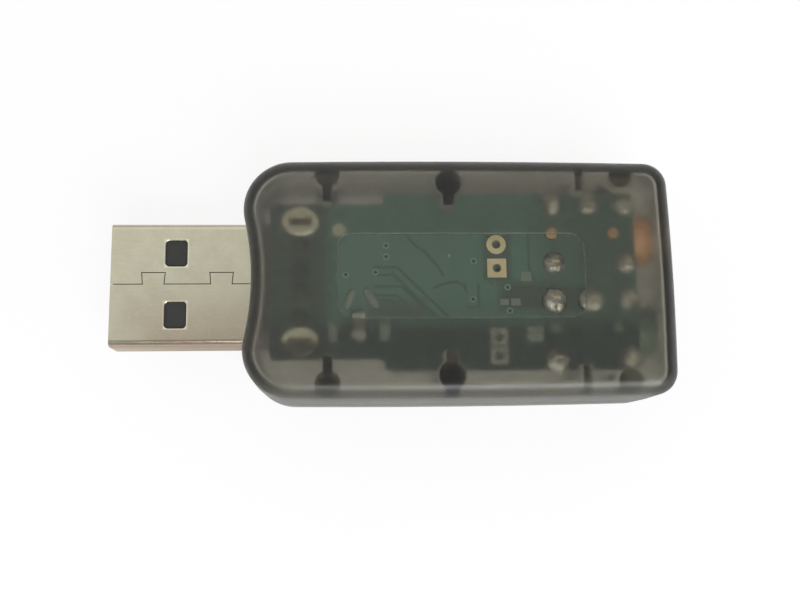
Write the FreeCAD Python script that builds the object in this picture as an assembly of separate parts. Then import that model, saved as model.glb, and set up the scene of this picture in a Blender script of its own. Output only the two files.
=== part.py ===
# Audio adapter: a rectangular bus plug at one end and two round jacks at the other.
# X runs from the plug to the jacks, Y across the case, Z up. All sizes are in millimetres.
import FreeCAD, Part
import math
import os

Vector = FreeCAD.Vector

# Case
case_length = 41.3
case_width = 23.1
case_height = 12.4
case_wall = 1.1
case_draft = 0.7
case_edge_radius = 1.5
base_edge_radius = 0.5
cavity_edge_radius = 0.45
side_bow = 0.2
jack_end_bow = 0.25
plug_end_waist = 0.75
plug_corner_radius = 4.7
jack_corner_radius = 2.4
split_gap = 0.04

# Lip that lines up the two case halves
lip_height = 0.7
lip_thickness = 0.5
lip_clearance = 0.06
lip_root = 0.5

# Label recess in both faces of the case
label_length = 23.45
label_width = 8.0
label_depth = 0.25
label_corner = 1.5
label_edge = 0.12

# Bus plug
plug_reach = 12.8
plug_width = 12.0
plug_height = 4.5
plug_gauge = 0.3
plug_bend = 0.6
plug_inside = 7.0
plug_clearance = 0.12
seam_gap = 0.08
lock_starts = (2.95, 9.45)
lock_length = 2.25
lock_height = 1.13
lock_flare = 0.1
latch_start = 5.2
latch_length = 2.05
latch_width = 2.55
latch_pitch = 6.05
latch_corner = 0.35
latch_edge = 0.1
leg_setback = 5.4
leg_width = 1.7
leg_stand = 0.45
leg_relief = 0.4
tongue_thickness = 1.95
tongue_setback = 0.2
block_setback = 0.4
contact_width = 1.0
contact_gauge = 0.25
contact_rows = (3.5, 1.0, -1.0, -3.5)
power_setback = 1.1
data_setback = 2.1
contact_pin_width = 0.5
contact_pin_stand = 0.6
moulding_clearance = 0.02

# Circuit board
board_thickness = 0.8
board_plug_gap = 2.5
board_jack_gap = 3.2
board_narrow_length = 10.9
board_narrow_width = 15.2
board_wide_width = 17.4
board_corner = 0.5
pin_hole_radius = 0.55
plug_pin_hole_radius = 0.45
leg_slot_length = 2.3
leg_slot_width = 0.8
spare_hole_radius = 0.4
spare_hole_x = 21.9
spare_hole_rows = (3.6, 1.25, -5.5, -7.3)

# Jacks
jack_pitch = 9.36
jack_bore_radius = 1.8
jack_bore_depth = 14.0
jack_mouth_chamfer = 0.3
jack_collar_radius = 2.5
jack_collar_recess = 0.2
jack_collar_clearance = 0.1
jack_body_length = 11.8
jack_body_width = 6.6
jack_body_height = 5.0
jack_axis_drop = 2.5
jack_body_chamfer = 0.3
jack_pin_rows = 2.9
jack_pin_front = 0.9
jack_pin_middle = 4.45
jack_pin_rear = 8.05
jack_pin_width = 0.7
jack_pin_stand = 0.75
jack_plate_length = 1.8
jack_plate_depth = 1.0
jack_plate_gap = 0.3
spring_gauge = 0.2
spring_height = 1.4
spring_intrusion = 0.12
spring_reach = 2.0
spring_tail = 0.6
spring_root = 0.3
spring_nose = 0.15
spring_room = 0.15
pocket_bite = 0.6
peg_radius = 0.55
peg_stations = (2.1, 8.2)
peg_clearance = 0.08
peg_stand = 0.12

# Posts and ribs inside the case
post_radius = 1.3
post_offset = -1.0
post_wall_gap = 0.97
post_key_width = 1.2
post_key_reach = 2.3
post_pin_radius = 0.6
post_pin_length = 2.5
post_hole_room = 0.4
fit_clearance = 0.1
cut_overrun = 1.0
root_depth = 0.2
round_spare = 0.01
rib_thickness = 0.9
rib_bite = 0.3
plug_rib_setback = 8.0
jack_rib_setback = 8.9
bead_radius = 1.2
bead_setback = 4.8
cradle_thickness = 1.0
plug_cradle_setback = 4.4

# Parts on the board
chip_size = 7.0
chip_height = 1.4
chip_standoff = 0.1
chip_chamfer = 0.15
chip_offset = -0.2
lead_count = 12
lead_pitch = 0.5
lead_width = 0.22
lead_gauge = 0.15
lead_span = 9.0
lead_shoulder = 0.45
lead_slope = 0.1
crystal_length = 11.2
crystal_width = 4.5
crystal_height = 3.3
crystal_flange = 0.2
crystal_flange_height = 0.4
crystal_setback = 11.5
can_radius = 2.0
can_height = 4.8
can_edge = 0.4
can_base_side = 4.1
can_base_height = 0.6
can_setback = 16.1
small_length = 1.6
small_width = 0.8
small_pitch = 1.6
small_rear_gap = 1.2
small_edge_gap = 2.8
small_chip_gap = 1.1
small_chip_row = 1.6
resistor_edge_gap = 0.9
resistor_pitch = 2.0
ceramic_height = 0.8
resistor_height = 0.45
filter_length = 2.3
filter_width = 1.25
filter_height = 0.9
filter_edge = 0.12
filter_setback = 10.95
filter_row = -4.4

# Solder
joint_radius = 1.1
joint_neck = 0.45
joint_height = 0.45
joint_shoulder_reach = 0.82
joint_shoulder_rise = 0.55
pin_joint_radius = 0.8
leg_joint_length = 3.7
leg_joint_width = 3.0
leg_joint_height = 0.4
leg_joint_edge = 0.3
leg_well_length = 2.4
leg_well_width = 1.0
leg_well_floor = 0.12

# Stations that follow from the sizes
tip_x = -(case_length + plug_reach) / 2
plug_end_x = tip_x + plug_reach
jack_end_x = plug_end_x + case_length
middle_x = (plug_end_x + jack_end_x) / 2
wall_y = case_width / 2 - side_bow - case_wall
split_z = case_height / 2
ceiling_z = case_height - case_wall
plug_top_z = split_z + plug_height / 2
plug_bottom_z = split_z - plug_height / 2
board_bottom_z = plug_top_z
board_top_z = board_bottom_z + board_thickness
board_start_x = plug_end_x + board_plug_gap
board_end_x = jack_end_x - board_jack_gap
board_step_x = board_start_x + board_narrow_length
leg_x = plug_end_x + leg_setback
jack_front_x = board_end_x
jack_axis_z = board_bottom_z - jack_axis_drop
jack_mouth_x = jack_end_x - jack_collar_recess
post_x = middle_x + post_offset
post_y = wall_y - post_wall_gap
chip_x = middle_x + chip_offset
can_row = (board_wide_width - can_base_side) / 2
small_row = board_wide_width / 2 - small_edge_gap
resistor_row = board_narrow_width / 2 - resistor_edge_gap


def box(x0, x1, y0, y1, z0, z1):
    return Part.makeBox(x1 - x0, y1 - y0, z1 - z0, Vector(x0, y0, z0))


def rod(x, y, z0, z1, radius):
    return Part.makeCylinder(radius, z1 - z0, Vector(x, y, z0))


def rod_along_x(x0, x1, y, z, radius):
    return Part.makeCylinder(radius, x1 - x0, Vector(x0, y, z), Vector(1, 0, 0))


def polygon_face(points):
    return Part.Face(Part.makePolygon(points + [points[0]]))


def join(shapes):
    return shapes[0].multiFuse(shapes[1:]).removeSplitter()


def group(solids):
    return Part.makeCompound(solids)


def edges_along(shape, direction):
    axis = Vector(*direction)
    found = []
    for edge in shape.Edges:
        if len(edge.Vertexes) < 2:
            continue
        span = edge.Vertexes[1].Point - edge.Vertexes[0].Point
        if abs(abs(span.dot(axis)) - span.Length) < 1e-6:
            found.append(edge)
    return found


def edges_in_plane(shape, z):
    found = []
    for edge in shape.Edges:
        reach = edge.BoundBox
        if max(abs(reach.ZMin - z), abs(reach.ZMax - z)) < 1e-4:
            found.append(edge)
    return found


def edges_within(shape, z, x0, x1, y0, y1):
    found = []
    for edge in edges_in_plane(shape, z):
        reach = edge.BoundBox
        if reach.XMin > x0 and reach.XMax < x1 and reach.YMin > y0 and reach.YMax < y1:
            found.append(edge)
    return found


def rounded_box(x0, x1, y0, y1, z0, z1, radius, direction):
    block = box(x0, x1, y0, y1, z0, z1)
    return block.makeFillet(radius, edges_along(block, direction))


# Case outline: bowed sides and jack end, hollow plug end between two round shoulders.
# Every arc keeps its centre when the outline is drawn further in.
def bow_radius(chord, bow):
    return (chord ** 2 / 4 + bow ** 2) / (2 * bow)


def crossing(centre_a, radius_a, centre_b, radius_b):
    gap = centre_b - centre_a
    along = (radius_a ** 2 - radius_b ** 2 + gap.Length ** 2) / (2 * gap.Length)
    aside = math.sqrt(radius_a ** 2 - along ** 2)
    unit = gap.normalize()
    foot = centre_a + unit * along
    normal = Vector(-unit.y, unit.x, 0) * aside
    return max((foot + normal, foot - normal), key=lambda point: point.x)


def outline_centres():
    half = case_width / 2
    side_radius = bow_radius(case_length, side_bow)
    end_radius = bow_radius(case_width, jack_end_bow)
    side = Vector(middle_x, half - side_radius, 0)
    end = Vector(jack_end_x - end_radius, 0, 0)
    shoulder_x = plug_end_x + plug_corner_radius
    shoulder_rise = math.sqrt((side_radius - plug_corner_radius) ** 2 - (shoulder_x - middle_x) ** 2)
    shoulder = Vector(shoulder_x, side.y + shoulder_rise, 0)
    hollow_radius = (plug_end_waist ** 2 + shoulder.y ** 2) / (2 * plug_end_waist) - plug_corner_radius
    hollow = Vector(plug_end_x + plug_end_waist - hollow_radius, 0, 0)
    corner = crossing(side, side_radius - jack_corner_radius, end, end_radius - jack_corner_radius)
    return side, side_radius, end, end_radius, shoulder, hollow, hollow_radius, corner


def toward(centre, target, distance):
    return centre + (target - centre).normalize() * distance


def arc_about(centre, a, b):
    radius = (a - centre).Length
    return Part.Arc(a, toward(centre, (a + b) * 0.5, radius), b).toShape()


def flipped(point):
    return Vector(point.x, -point.y, point.z)


def outline_at(inset, z):
    side, side_radius, end, end_radius, shoulder, hollow, hollow_radius, corner = outline_centres()
    hollow_point = toward(hollow, shoulder, hollow_radius + inset)
    side_start = toward(side, shoulder, side_radius - inset)
    side_end = toward(side, corner, side_radius - inset)
    end_point = toward(end, corner, end_radius - inset)
    upper = [
        (shoulder, hollow_point, side_start), (side, side_start, side_end), (corner, side_end, end_point),
    ]
    arcs = [arc_about(centre, a, b) for centre, a, b in upper]
    arcs.append(arc_about(end, end_point, flipped(end_point)))
    for centre, a, b in reversed(upper):
        arcs.append(arc_about(flipped(centre), flipped(b), flipped(a)))
    arcs.append(arc_about(hollow, flipped(hollow_point), hollow_point))
    wire = Part.Wire(arcs)
    wire.translate(Vector(0, 0, z))
    return wire


def straight_block(inset, z0, z1):
    return Part.Face(outline_at(inset, z0)).extrude(Vector(0, 0, z1 - z0))


def drafted_block(inset, z0, z1):
    taper = abs(z1 - z0) * math.tan(math.radians(case_draft))
    return Part.makeLoft([outline_at(inset, z0), outline_at(inset + taper, z1)], True, True)


def plug_opening():
    half = plug_width / 2 + plug_clearance
    inner_x = plug_end_x + plug_end_waist + case_wall
    return rounded_box(plug_end_x - cut_overrun, inner_x + cut_overrun, -half, half,
                       plug_bottom_z - plug_clearance, plug_top_z + plug_clearance,
                       plug_bend + plug_clearance, (1, 0, 0))


def jack_opening(y):
    radius = jack_collar_radius + jack_collar_clearance
    inner_x = jack_end_x - case_wall - jack_end_bow
    return rod_along_x(inner_x - cut_overrun, jack_end_x + cut_overrun, y, jack_axis_z, radius)


def label_recess(z0, z1):
    return rounded_box(middle_x - label_length / 2, middle_x + label_length / 2,
                       -label_width / 2, label_width / 2, z0, z1, label_corner, (0, 0, 1))


def plain_half(rim_z, face_z, edge_radius):
    inward = -1 if face_z > rim_z else 1
    inner_z = face_z + inward * case_wall
    outside = drafted_block(0, rim_z, face_z)
    outside = outside.makeFillet(edge_radius, edges_in_plane(outside, face_z))
    cavity = drafted_block(case_wall, rim_z, inner_z)
    cavity = cavity.makeFillet(cavity_edge_radius, edges_in_plane(cavity, inner_z))
    recess_z = sorted((face_z + inward * label_depth, face_z - inward * cut_overrun))
    half = outside.cut(cavity).cut(label_recess(recess_z[0], recess_z[1]))
    reach_x = label_length / 2 + label_edge
    reach_y = label_width / 2 + label_edge
    rim = edges_within(half, face_z, middle_x - reach_x, middle_x + reach_x, -reach_y, reach_y)
    return half.makeFillet(label_edge, rim)


def lip_ring(spare, z0, z1):
    outer = straight_block(case_wall - lip_thickness - spare, z0, z1)
    return outer.cut(straight_block(case_wall + spare, z0, z1))


def open_ends(shell):
    cutters = [plug_opening(), jack_opening(jack_pitch / 2), jack_opening(-jack_pitch / 2)]
    for cutter in cutters:
        shell = shell.cut(cutter)
    return shell


def upper_post(side):
    y = side * post_y
    shoulder = rod(post_x, y, split_z + split_gap, ceiling_z + root_depth, post_radius)
    pin = rod(post_x, y, split_z - post_pin_length, split_z + root_depth, post_pin_radius)
    inner_y = side * (post_y - post_key_reach)
    key = box(post_x - post_key_width / 2, post_x + post_key_width / 2, min(y, inner_y), max(y, inner_y),
              board_bottom_z, ceiling_z + root_depth)
    return join([shoulder, pin, key])


def lower_boss(side):
    y = side * post_y
    boss = rod(post_x, y, case_wall - root_depth, split_z - split_gap, post_radius)
    hole_z = split_z - post_pin_length - post_hole_room
    return boss.cut(rod(post_x, y, hole_z, split_z, post_pin_radius + lip_clearance))


def rib_stations():
    return (
        (plug_end_x + plug_rib_setback, board_narrow_width / 2),
        (jack_end_x - jack_rib_setback, board_wide_width / 2),
    )


def upper_rib(x, board_half, side):
    near = board_half - rib_bite
    far = wall_y + root_depth
    return box(x - rib_thickness / 2, x + rib_thickness / 2, min(side * near, side * far),
               max(side * near, side * far), board_top_z + moulding_clearance, ceiling_z + root_depth)


# A lower rib carries the board on a ledge and stands up beside the board's edge
def lower_rib(x, board_half, side):
    root = wall_y + root_depth
    floor_z = case_wall - root_depth
    step_z = split_z - split_gap
    ledge = board_half - rib_bite
    edge = board_half + fit_clearance
    stand = (edge + wall_y) / 2
    ledge_z = board_bottom_z - moulding_clearance
    stand_z = board_top_z - fit_clearance
    points = [
        (root, floor_z), (root, step_z), (stand, step_z), (stand, stand_z),
        (edge, stand_z), (edge, ledge_z), (ledge, ledge_z), (ledge, floor_z),
    ]
    start = x - rib_thickness / 2
    return polygon_face([Vector(start, side * y, z) for y, z in points]).extrude(Vector(rib_thickness, 0, 0))


def bead(x, side, z0, z1):
    centre = board_wide_width / 2 + fit_clearance + bead_radius
    column = rod(x, side * centre, z0, z1, bead_radius)
    return column.common(straight_block(case_wall / 2 + root_depth, z0, z1))


def bead_stations():
    return (plug_end_x + plug_rib_setback, jack_end_x - bead_setback)


def build_upper_shell():
    shell = plain_half(split_z + split_gap / 2, case_height, case_edge_radius)
    inside = []
    for side in (1, -1):
        inside.append(upper_post(side))
        inside += [upper_rib(x, half, side) for x, half in rib_stations()]
        inside += [bead(x, side, board_top_z, ceiling_z + root_depth) for x in bead_stations()]
    shell = join([shell] + inside)
    return open_ends(shell.cut(lip_ring(lip_clearance, split_z, split_z + lip_height + lip_clearance)))


def cradle(x, half, y, top_z):
    return box(x - cradle_thickness / 2, x + cradle_thickness / 2, y - half, y + half,
               case_wall - root_depth, top_z)


def build_lower_shell():
    shell = plain_half(split_z - split_gap / 2, 0, base_edge_radius)
    inside = [lip_ring(0, split_z - lip_root, split_z + lip_height)]
    for side in (1, -1):
        inside.append(lower_boss(side))
        inside += [lower_rib(x, half, side) for x, half in rib_stations()]
        inside += [bead(x, side, case_wall - root_depth, split_z - split_gap) for x in bead_stations()]
        inside.append(cradle(jack_front_x - jack_body_length / 2, jack_body_width / 4, side * jack_pitch / 2,
                             board_bottom_z - jack_body_height - moulding_clearance))
    plug_cradle_x = plug_end_x + plug_cradle_setback
    inside.append(cradle(plug_cradle_x, plug_width / 4, 0, plug_bottom_z - moulding_clearance))
    return open_ends(join([shell] + inside))


# Plug shell: one folded strip whose edges meet in a seam on the upper face
def seam_segment(start, end):
    run = end - start
    length = run.Length
    strip = Part.makeBox(length + seam_gap, seam_gap, 4 * plug_gauge, Vector(-seam_gap / 2, -seam_gap / 2, 0))
    angle = math.degrees(math.atan2(run.y, run.x))
    strip.rotate(Vector(0, 0, 0), Vector(0, 0, 1), angle)
    strip.translate(Vector(start.x, start.y, plug_top_z - 2 * plug_gauge))
    return strip


def seam_cutters():
    line = [Vector(tip_x - cut_overrun, 0, 0)]
    for start in lock_starts:
        near = tip_x + start
        far = near + lock_length
        line += [Vector(near + lock_flare, 0, 0), Vector(near, lock_height, 0)]
        line += [Vector(far, lock_height, 0), Vector(far - lock_flare, 0, 0)]
    line.append(Vector(plug_end_x + plug_inside + cut_overrun, 0, 0))
    return [seam_segment(a, b) for a, b in zip(line, line[1:])]


def latch_holes():
    x = tip_x + latch_start
    holes = []
    for side in (1, -1):
        y = side * latch_pitch / 2
        holes.append(rounded_box(x, x + latch_length, y - latch_width / 2, y + latch_width / 2,
                                 plug_bottom_z - cut_overrun, plug_top_z + cut_overrun,
                                 latch_corner, (0, 0, 1)))
    return holes


def build_plug_shell():
    half = plug_width / 2
    rear_x = plug_end_x + plug_inside
    tube = rounded_box(tip_x, rear_x, -half, half, plug_bottom_z, plug_top_z, plug_bend, (1, 0, 0))
    bore = rounded_box(tip_x - cut_overrun, rear_x + cut_overrun, -half + plug_gauge, half - plug_gauge,
                       plug_bottom_z + plug_gauge, plug_top_z - plug_gauge, plug_bend - plug_gauge, (1, 0, 0))
    shell = tube.cut(bore)
    for cutter in seam_cutters() + latch_holes():
        shell = shell.cut(cutter)
    rims = []
    for hole in latch_holes():
        reach = hole.BoundBox
        for z in (plug_bottom_z, plug_top_z):
            rims += edges_within(shell, z, reach.XMin - latch_edge, reach.XMax + latch_edge,
                                 reach.YMin - latch_edge, reach.YMax + latch_edge)
    shell = shell.makeFillet(latch_edge, rims)
    cut_x = leg_x - leg_width / 2 - leg_relief
    cut_y = half + cut_overrun
    shell = shell.cut(box(cut_x, rear_x + cut_overrun, -cut_y, cut_y,
                          plug_top_z - 2 * plug_bend, plug_top_z + cut_overrun))
    legs = []
    for side in (1, -1):
        outer = side * half
        inner = side * (half - plug_gauge)
        legs.append(box(leg_x - leg_width / 2, leg_x + leg_width / 2, min(outer, inner), max(outer, inner),
                        split_z, board_top_z + leg_stand))
    return join([shell] + legs)


# Insulator: a tongue under the upper face and a block behind it, grooved for the contacts
def tongue_face_z():
    return plug_top_z - plug_gauge - moulding_clearance - tongue_thickness


def contact_start(row):
    return tip_x + (power_setback if abs(row) == max(contact_rows) else data_setback)


def plug_contact(row, spare):
    z = tongue_face_z()
    half = contact_width / 2 + spare
    start = contact_start(row) - spare
    pin_x = leg_x + contact_gauge / 2
    bottom = z - (cut_overrun if spare else 0)
    blade = box(start, pin_x + spare, row - half, row + half, bottom, z + contact_gauge + spare)
    pin_half = contact_pin_width / 2 + spare
    pin = box(pin_x - contact_gauge - spare, pin_x + spare, row - pin_half, row + pin_half, z,
              board_top_z + contact_pin_stand)
    return blade, pin


def build_plug_contact(row):
    return join(list(plug_contact(row, 0)))


def build_plug_insulator():
    half = plug_width / 2 - plug_gauge - moulding_clearance
    top = plug_top_z - plug_gauge - moulding_clearance
    bottom = plug_bottom_z + plug_gauge + moulding_clearance
    rear_x = plug_end_x + plug_inside
    tongue = box(tip_x + tongue_setback, rear_x, -half, half, tongue_face_z(), top)
    block = box(plug_end_x - block_setback, rear_x, -half, half, bottom, top)
    body = join([tongue, block])
    body = body.makeFillet(plug_bend - plug_gauge, edges_along(body, (1, 0, 0)))
    for row in contact_rows:
        blade, pin = plug_contact(row, moulding_clearance)
        slot = blade.common(box(tip_x, rear_x, -half, half, tongue_face_z() - moulding_clearance, top))
        body = body.cut(slot).cut(pin)
    return body


# Circuit board
def jack_pins():
    front = jack_front_x - jack_pin_front
    middle = jack_front_x - jack_pin_middle
    rear = jack_front_x - jack_pin_rear
    return ((front, 1), (rear, 1), (middle, 1), (front, -1), (rear, -1))


def jack_pin_centres():
    return [(x, side * jack_pin_rows + centre) for centre in jack_rows() for x, side in jack_pins()]


def jack_rows():
    return (jack_pitch / 2, -jack_pitch / 2)


def leg_row():
    return (plug_width - plug_gauge) / 2


def board_holes():
    z0 = board_bottom_z - cut_overrun
    z1 = board_top_z + cut_overrun
    holes = [rod(x, y, z0, z1, pin_hole_radius) for x, y in jack_pin_centres()]
    for y in jack_rows():
        for station in peg_stations:
            holes.append(rod(jack_front_x - station, y, z0, z1, peg_radius + peg_clearance))
    holes += [rod(leg_x, row, z0, z1, plug_pin_hole_radius) for row in contact_rows]
    holes += [rod(board_start_x + spare_hole_x, row, z0, z1, spare_hole_radius) for row in spare_hole_rows]
    for side in (1, -1):
        y = side * leg_row()
        half_x = leg_slot_length / 2
        half_y = leg_slot_width / 2
        holes.append(rounded_box(leg_x - half_x, leg_x + half_x, y - half_y, y + half_y, z0, z1,
                                 half_y - round_spare, (0, 0, 1)))
        holes.append(rod(post_x, side * post_y, z0, z1, post_radius + fit_clearance))
        near = side * (post_y - post_key_reach - fit_clearance)
        far = side * post_y
        half = post_key_width / 2 + fit_clearance
        holes.append(box(post_x - half, post_x + half, min(near, far), max(near, far), z0, z1))
    return holes


def build_circuit_board():
    narrow = box(board_start_x, board_step_x + cut_overrun, -board_narrow_width / 2, board_narrow_width / 2,
                 board_bottom_z, board_top_z)
    wide = box(board_step_x, board_end_x, -board_wide_width / 2, board_wide_width / 2,
               board_bottom_z, board_top_z)
    board = join([narrow, wide])
    board = board.makeFillet(board_corner, edges_along(board, (0, 0, 1)))
    for hole in board_holes():
        board = board.cut(hole)
    return board


# Jack body: a block with a collar in front, bored for the audio plug, with pockets for the contacts
def jack_plate(x, side, y, spare):
    half = jack_plate_length / 2 + spare
    row = y + side * jack_pin_rows
    gauge = spring_gauge / 2 + spare
    lift = cut_overrun if spare else 0
    plate = box(x - half, x + half, row - gauge, row + gauge, jack_axis_z - jack_plate_depth - spare,
                board_bottom_z - jack_plate_gap + lift)
    if spare:
        return plate
    pin = box(x - jack_pin_width / 2, x + jack_pin_width / 2, row - gauge, row + gauge, jack_axis_z,
              board_top_z + jack_pin_stand)
    return join([plate, pin])


# A spring runs from its plate to a nose in the bore and ends in a short tail turned back out
def jack_spring(x, side, y, heading):
    plate_end = x + heading * jack_plate_length / 2
    nose_x = plate_end + heading * spring_reach
    tail_x = nose_x + heading * spring_tail
    nose = jack_bore_radius - spring_intrusion
    root = jack_pin_rows - spring_gauge / 2
    tail = nose + spring_tail
    root_x = plate_end - heading * spring_root
    profile = [
        (root_x, root), (plate_end, root), (nose_x - heading * spring_nose, nose),
        (nose_x + heading * spring_nose, nose), (tail_x, tail), (tail_x, tail + spring_gauge),
        (nose_x, nose + spring_gauge), (plate_end, root + spring_gauge), (root_x, root + spring_gauge),
    ]
    bottom = jack_axis_z - spring_height / 2
    arm = polygon_face([Vector(px, y + side * py, bottom) for px, py in profile])
    return join([jack_plate(x, side, y, 0), arm.extrude(Vector(0, 0, spring_height))])


def spring_pocket(x, side, y, heading):
    plate_end = x + heading * jack_plate_length / 2
    tail_x = plate_end + heading * (spring_reach + spring_tail + spring_room)
    near = y + side * (jack_bore_radius - pocket_bite)
    far = y + side * (jack_pin_rows + spring_gauge / 2 + moulding_clearance)
    half = spring_height / 2 + spring_room
    return box(min(x, tail_x), max(x, tail_x), min(near, far), max(near, far),
               jack_axis_z - half, jack_axis_z + half)


def jack_springs():
    pins = jack_pins()
    return {"sleeve": (pins[2], 1), "ring": (pins[3], -1), "tip": (pins[4], -1)}


def build_jack_body(y):
    rear_x = jack_front_x - jack_body_length
    half = jack_body_width / 2
    body = box(rear_x, jack_front_x, y - half, y + half, board_bottom_z - jack_body_height, board_bottom_z)
    low_edges = [edge for edge in edges_along(body, (1, 0, 0)) if edge.Vertexes[0].Z < jack_axis_z]
    body = body.makeChamfer(jack_body_chamfer, low_edges)
    pieces = [body, rod_along_x(jack_front_x - cut_overrun, jack_mouth_x, y, jack_axis_z, jack_collar_radius)]
    for station in peg_stations:
        peg_x = jack_front_x - station
        pieces.append(rod(peg_x, y, board_bottom_z - root_depth, board_top_z + peg_stand, peg_radius))
    body = join(pieces)
    bore_end_x = jack_mouth_x - jack_bore_depth
    body = body.cut(rod_along_x(bore_end_x, jack_mouth_x + cut_overrun, y, jack_axis_z, jack_bore_radius))
    mouth = Part.makeCone(jack_bore_radius, jack_bore_radius + jack_mouth_chamfer, jack_mouth_chamfer,
                          Vector(jack_mouth_x - jack_mouth_chamfer, y, jack_axis_z), Vector(1, 0, 0))
    body = body.cut(mouth)
    for x, side in jack_pins():
        body = body.cut(jack_plate(x, side, y, moulding_clearance))
    for (x, side), heading in jack_springs().values():
        body = body.cut(spring_pocket(x, side, y, heading))
    return body


# Parts under the board
def build_audio_chip():
    half = chip_size / 2
    top = board_bottom_z - chip_standoff
    body = box(chip_x - half, chip_x + half, -half, half, top - chip_height, top)
    low_edges = edges_in_plane(body, top - chip_height)
    return body.makeChamfer(chip_chamfer, low_edges)


def build_audio_chip_leads():
    half = chip_size / 2
    knee = board_bottom_z - chip_standoff - chip_height / 2
    foot = board_bottom_z
    span = lead_span / 2
    bend = half + lead_shoulder
    heel = bend - lead_gauge
    profile = [
        (half, knee), (bend, knee), (bend + lead_slope, foot - lead_gauge), (span, foot - lead_gauge),
        (span, foot), (heel + lead_slope, foot), (heel, knee + lead_gauge), (half, knee + lead_gauge),
    ]
    leads = []
    for quarter in range(4):
        for index in range(lead_count):
            start = (index - (lead_count - 1) / 2) * lead_pitch - lead_width / 2
            lead = polygon_face([Vector(r, start, z) for r, z in profile]).extrude(Vector(0, lead_width, 0))
            lead.rotate(Vector(0, 0, 0), Vector(0, 0, 1), 90 * quarter)
            lead.translate(Vector(chip_x, 0, 0))
            leads.append(lead)
    return group(leads)


def build_crystal():
    x = plug_end_x + crystal_setback
    half_x = crystal_width / 2
    half_y = crystal_length / 2
    top = board_bottom_z - moulding_clearance
    can = rounded_box(x - half_x, x + half_x, -half_y, half_y, top - crystal_height, top,
                      half_x - round_spare, (0, 0, 1))
    can = can.makeFillet(crystal_flange_height, edges_in_plane(can, top - crystal_height))
    flange = rounded_box(x - half_x - crystal_flange, x + half_x + crystal_flange, -half_y - crystal_flange,
                         half_y + crystal_flange, top - crystal_flange_height, top, half_x, (0, 0, 1))
    return join([can, flange])


def can_bases():
    top = board_bottom_z - moulding_clearance
    x = plug_end_x + can_setback
    half = can_base_side / 2
    bases = []
    for side in (1, -1):
        y = side * can_row
        bases.append(box(x - half, x + half, y - half, y + half, top - can_base_height, top))
    return group(bases)


def build_output_can(side):
    top = board_bottom_z - moulding_clearance - can_base_height
    can = rod(plug_end_x + can_setback, side * can_row, top - can_height, top, can_radius)
    return can.makeFillet(can_edge, edges_in_plane(can, top - can_height))


def small_part(x, y, along_x, height):
    long_half = small_length / 2
    short_half = small_width / 2
    half_x = long_half if along_x else short_half
    half_y = short_half if along_x else long_half
    top = board_bottom_z - moulding_clearance
    return box(x - half_x, x + half_x, y - half_y, y + half_y, top - height, top)


def build_ceramic_capacitors():
    start = jack_front_x - jack_body_length - small_rear_gap
    beside = chip_x - lead_span / 2 - small_chip_gap
    places = []
    for side in (1, -1):
        places += [(start, side * small_row), (start - small_pitch, side * small_row)]
        places.append((beside, side * small_chip_row))
    return group([small_part(x, y, False, ceramic_height) for x, y in places])


def build_chip_resistors():
    third = jack_front_x - jack_body_length - small_rear_gap - 2 * small_pitch
    start = plug_end_x + plug_inside + small_rear_gap
    resistors = []
    for side in (1, -1):
        resistors.append(small_part(third, side * small_row, False, resistor_height))
        for index in range(2):
            x = start + index * resistor_pitch
            resistors.append(small_part(x, side * resistor_row, True, resistor_height))
    return group(resistors)


def build_filter_capacitor():
    x = plug_end_x + filter_setback
    half_x = filter_width / 2
    half_y = filter_length / 2
    body = box(x - half_x, x + half_x, filter_row - half_y, filter_row + half_y,
               board_top_z + moulding_clearance, board_top_z + filter_height)
    return body.makeFillet(filter_edge, edges_in_plane(body, board_top_z + filter_height))


# Solder
def solder_dome(x, y, radius):
    foot = Vector(radius, 0, 0)
    bulge = Vector(joint_shoulder_reach * radius, 0, joint_shoulder_rise * joint_height)
    neck = Vector(joint_neck * radius, 0, joint_height)
    base = Vector(0, 0, 0)
    peak = Vector(0, 0, joint_height)
    edges = [
        Part.makeLine(base, foot), Part.Arc(foot, bulge, neck).toShape(),
        Part.makeLine(neck, peak), Part.makeLine(peak, base),
    ]
    dome = Part.Face(Part.Wire(edges)).revolve(Vector(0, 0, 0), Vector(0, 0, 1), 360)
    dome.translate(Vector(x, y, board_top_z))
    return dome


def build_jack_solder(y):
    joints = []
    for x, side in jack_pins():
        dome = solder_dome(x, y + side * jack_pin_rows, joint_radius)
        joints.append(dome.cut(jack_plate(x, side, y, 0)))
    return group(joints)


def build_plug_solder():
    joints = []
    for row in contact_rows:
        joints.append(solder_dome(leg_x, row, pin_joint_radius).cut(build_plug_contact(row)))
    return group(joints)


def build_leg_solder(plug_shell):
    mounds = []
    for side in (1, -1):
        centre = Vector(leg_x, side * leg_row(), board_top_z)
        ring = Part.Ellipse(centre, leg_joint_length / 2, leg_joint_width / 2)
        mound = Part.Face(Part.Wire(ring.toShape())).extrude(Vector(0, 0, leg_joint_height))
        mound = mound.makeFillet(leg_joint_edge, edges_in_plane(mound, board_top_z + leg_joint_height))
        half_x = leg_well_length / 2
        half_y = leg_well_width / 2
        well = rounded_box(centre.x - half_x, centre.x + half_x, centre.y - half_y, centre.y + half_y,
                           board_top_z + leg_well_floor, board_top_z + leg_joint_height + cut_overrun,
                           half_y - round_spare, (0, 0, 1))
        mounds.append(mound.cut(well).cut(plug_shell))
    return group(mounds)


def jack_nodes(name, y):
    nodes = {name + "_jack_body": build_jack_body(y)}
    for part, ((x, side), heading) in jack_springs().items():
        nodes[name + "_jack_" + part + "_spring"] = jack_spring(x, side, y, heading)
    front, rear = jack_pins()[:2]
    nodes[name + "_jack_ring_switch"] = jack_plate(front[0], front[1], y, 0)
    nodes[name + "_jack_tip_switch"] = jack_plate(rear[0], rear[1], y, 0)
    nodes[name + "_jack_solder"] = build_jack_solder(y)
    return nodes


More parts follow.
